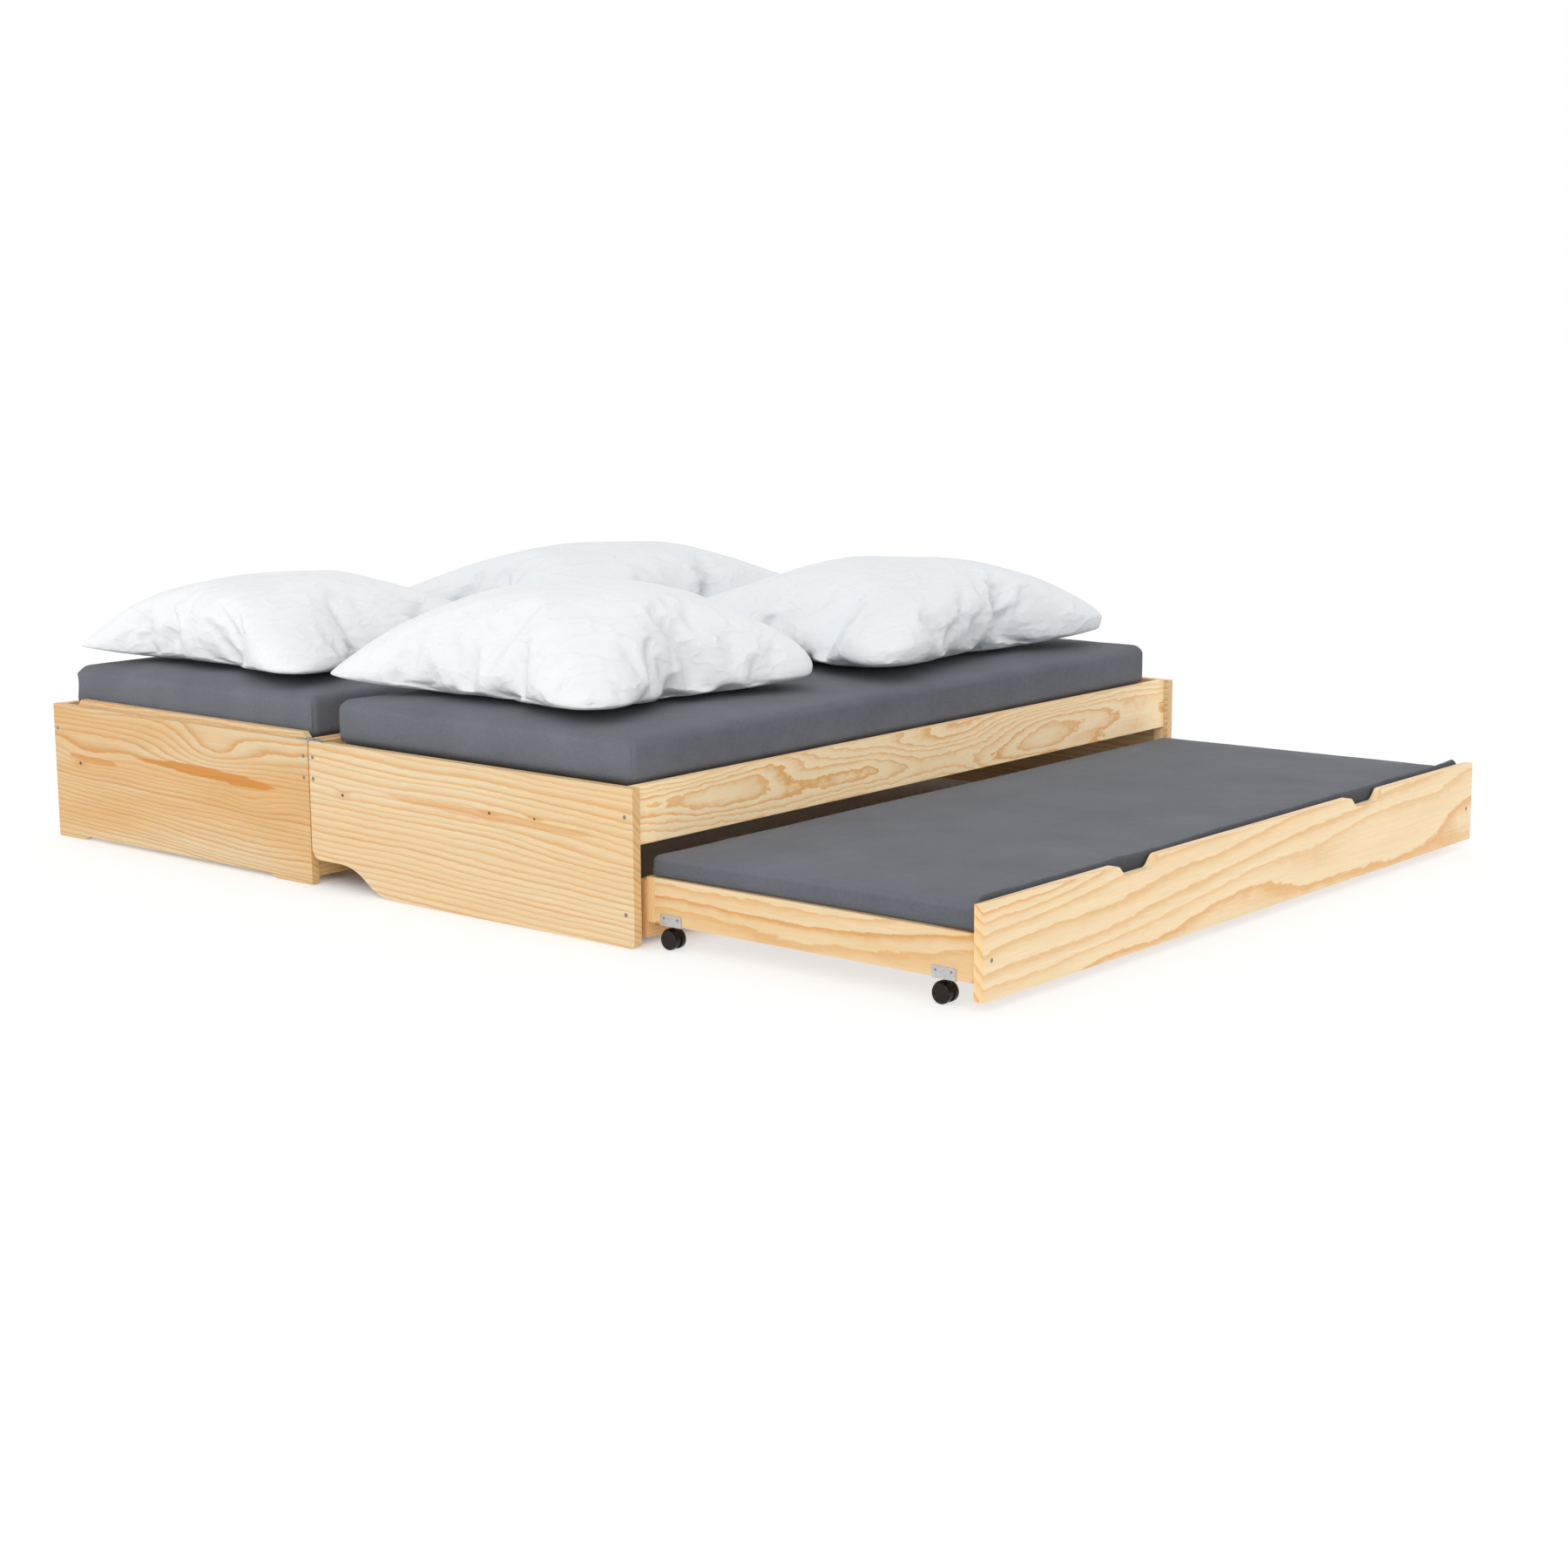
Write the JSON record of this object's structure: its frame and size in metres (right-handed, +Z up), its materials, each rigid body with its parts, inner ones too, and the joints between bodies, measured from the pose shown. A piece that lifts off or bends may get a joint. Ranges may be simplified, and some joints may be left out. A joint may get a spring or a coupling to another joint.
{
  "type": "trundle bed",
  "caption": "Low pine fold-out daybed: a base unit, a hinged extension that folds over it, and a roll-out trundle on swivel castors, with mattresses and pillows.",
  "frame": {"origin": "centre of the whole bed in plan with the trundle pulled out, on the floor", "axes": "+X from the base towards the trundle front, +Y along the bed from the near end to the far end, +Z up"},
  "size_m": [2.847, 2.06, 0.6853],
  "materials": {
    "pine_board": "satin",
    "pine_plain": "matte",
    "zinc_plate": "satin",
    "bright_steel": "satin",
    "black_nylon": "satin",
    "woven_tape": "matte",
    "grey_sheet": "matte",
    "white_cotton": "matte"
  },
  "bodies": {
    "base": {"base_end_panel_near": "pine_board", "base_end_panel_far": "pine_board", "base_end_batten_near": "pine_board", "base_end_batten_far": "pine_board", "base_outer_rail": "pine_board", "base_hinge_rail": "pine_board", "base_kick_board": "pine_board", "base_corner_blocks": "pine_plain", "base_slat_ledgers": "pine_plain", "base_slats": "pine_plain", "base_slat_tapes": "woven_tape", "base_screws": "bright_steel", "hinge_leaves_base": "zinc_plate", "hinge_pins": "bright_steel", "hinge_screws_base": "bright_steel", "base_mattress": "grey_sheet", "pillow_base_near": "white_cotton", "pillow_base_far": "white_cotton"},
    "extension": {"hinge_leaves_extension": "zinc_plate", "hinge_screws_extension": "bright_steel", "extension_end_panel_near": "pine_board", "extension_end_panel_far": "pine_board", "extension_outer_rail": "pine_board", "extension_hinge_rail": "pine_board", "extension_slat_ledgers": "pine_plain", "extension_slats": "pine_plain", "extension_slat_tapes": "woven_tape", "extension_stop_battens": "pine_plain", "extension_screws": "bright_steel", "extension_mattress": "grey_sheet", "pillow_extension_near": "white_cotton", "pillow_extension_far": "white_cotton"},
    "trundle": {"trundle_front_board": "pine_board", "trundle_rear_board": "pine_board", "trundle_rear_skirt": "pine_board", "trundle_side_near": "pine_board", "trundle_side_far": "pine_board", "trundle_slat_ledgers": "pine_plain", "trundle_slats": "pine_plain", "trundle_slat_tapes": "woven_tape", "trundle_screws": "bright_steel", "castor_brackets": "zinc_plate", "trundle_mattress": "grey_sheet"},
    "castor_1": {"castor_stem_1": "bright_steel", "castor_hood_1": "black_nylon", "castor_axle_1": "bright_steel"},
    "castor_wheels_1": {"castor_wheels_1": "black_nylon"},
    "castor_2": {"castor_stem_2": "bright_steel", "castor_hood_2": "black_nylon", "castor_axle_2": "bright_steel"},
    "castor_wheels_2": {"castor_wheels_2": "black_nylon"},
    "castor_3": {"castor_stem_3": "bright_steel", "castor_hood_3": "black_nylon", "castor_axle_3": "bright_steel"},
    "castor_wheels_3": {"castor_wheels_3": "black_nylon"},
    "castor_4": {"castor_stem_4": "bright_steel", "castor_hood_4": "black_nylon", "castor_axle_4": "bright_steel"},
    "castor_wheels_4": {"castor_wheels_4": "black_nylon"}
  },
  "joints": [
    {"name": "extension_fold", "type": "hinge", "parent": "base", "child": "extension", "pos_m": [-0.4485, 0, 0.337], "axis": [0, -1, 0], "range_deg": [0, 180], "deforming": ["base_mattress", "extension_mattress", "pillow_base_near", "pillow_base_far", "pillow_extension_near", "pillow_extension_far"]},
    {"name": "trundle_roll", "type": "slide", "parent": "base", "child": "trundle", "axis": [1, 0, 0], "range_m": [-0.825, 0.3]},
    {"name": "castor_swivel_1", "type": "hinge", "parent": "trundle", "child": "castor_1", "pos_m": [0.6265, -0.975, 0.04], "axis": [0, 0, 1], "continuous": true},
    {"name": "castor_spin_1", "type": "hinge", "parent": "castor_1", "child": "castor_wheels_1", "pos_m": [0.6195, -0.975, 0.021], "axis": [0, 1, 0], "continuous": true},
    {"name": "castor_swivel_2", "type": "hinge", "parent": "trundle", "child": "castor_2", "pos_m": [1.3215, -0.975, 0.04], "axis": [0, 0, 1], "continuous": true},
    {"name": "castor_spin_2", "type": "hinge", "parent": "castor_2", "child": "castor_wheels_2", "pos_m": [1.3145, -0.975, 0.021], "axis": [0, 1, 0], "continuous": true},
    {"name": "castor_swivel_3", "type": "hinge", "parent": "trundle", "child": "castor_3", "pos_m": [0.6265, 0.975, 0.04], "axis": [0, 0, 1], "continuous": true},
    {"name": "castor_spin_3", "type": "hinge", "parent": "castor_3", "child": "castor_wheels_3", "pos_m": [0.6195, 0.975, 0.021], "axis": [0, 1, 0], "continuous": true},
    {"name": "castor_swivel_4", "type": "hinge", "parent": "trundle", "child": "castor_4", "pos_m": [1.3215, 0.975, 0.04], "axis": [0, 0, 1], "continuous": true},
    {"name": "castor_spin_4", "type": "hinge", "parent": "castor_4", "child": "castor_wheels_4", "pos_m": [1.3145, 0.975, 0.021], "axis": [0, 1, 0], "continuous": true}
  ]
}
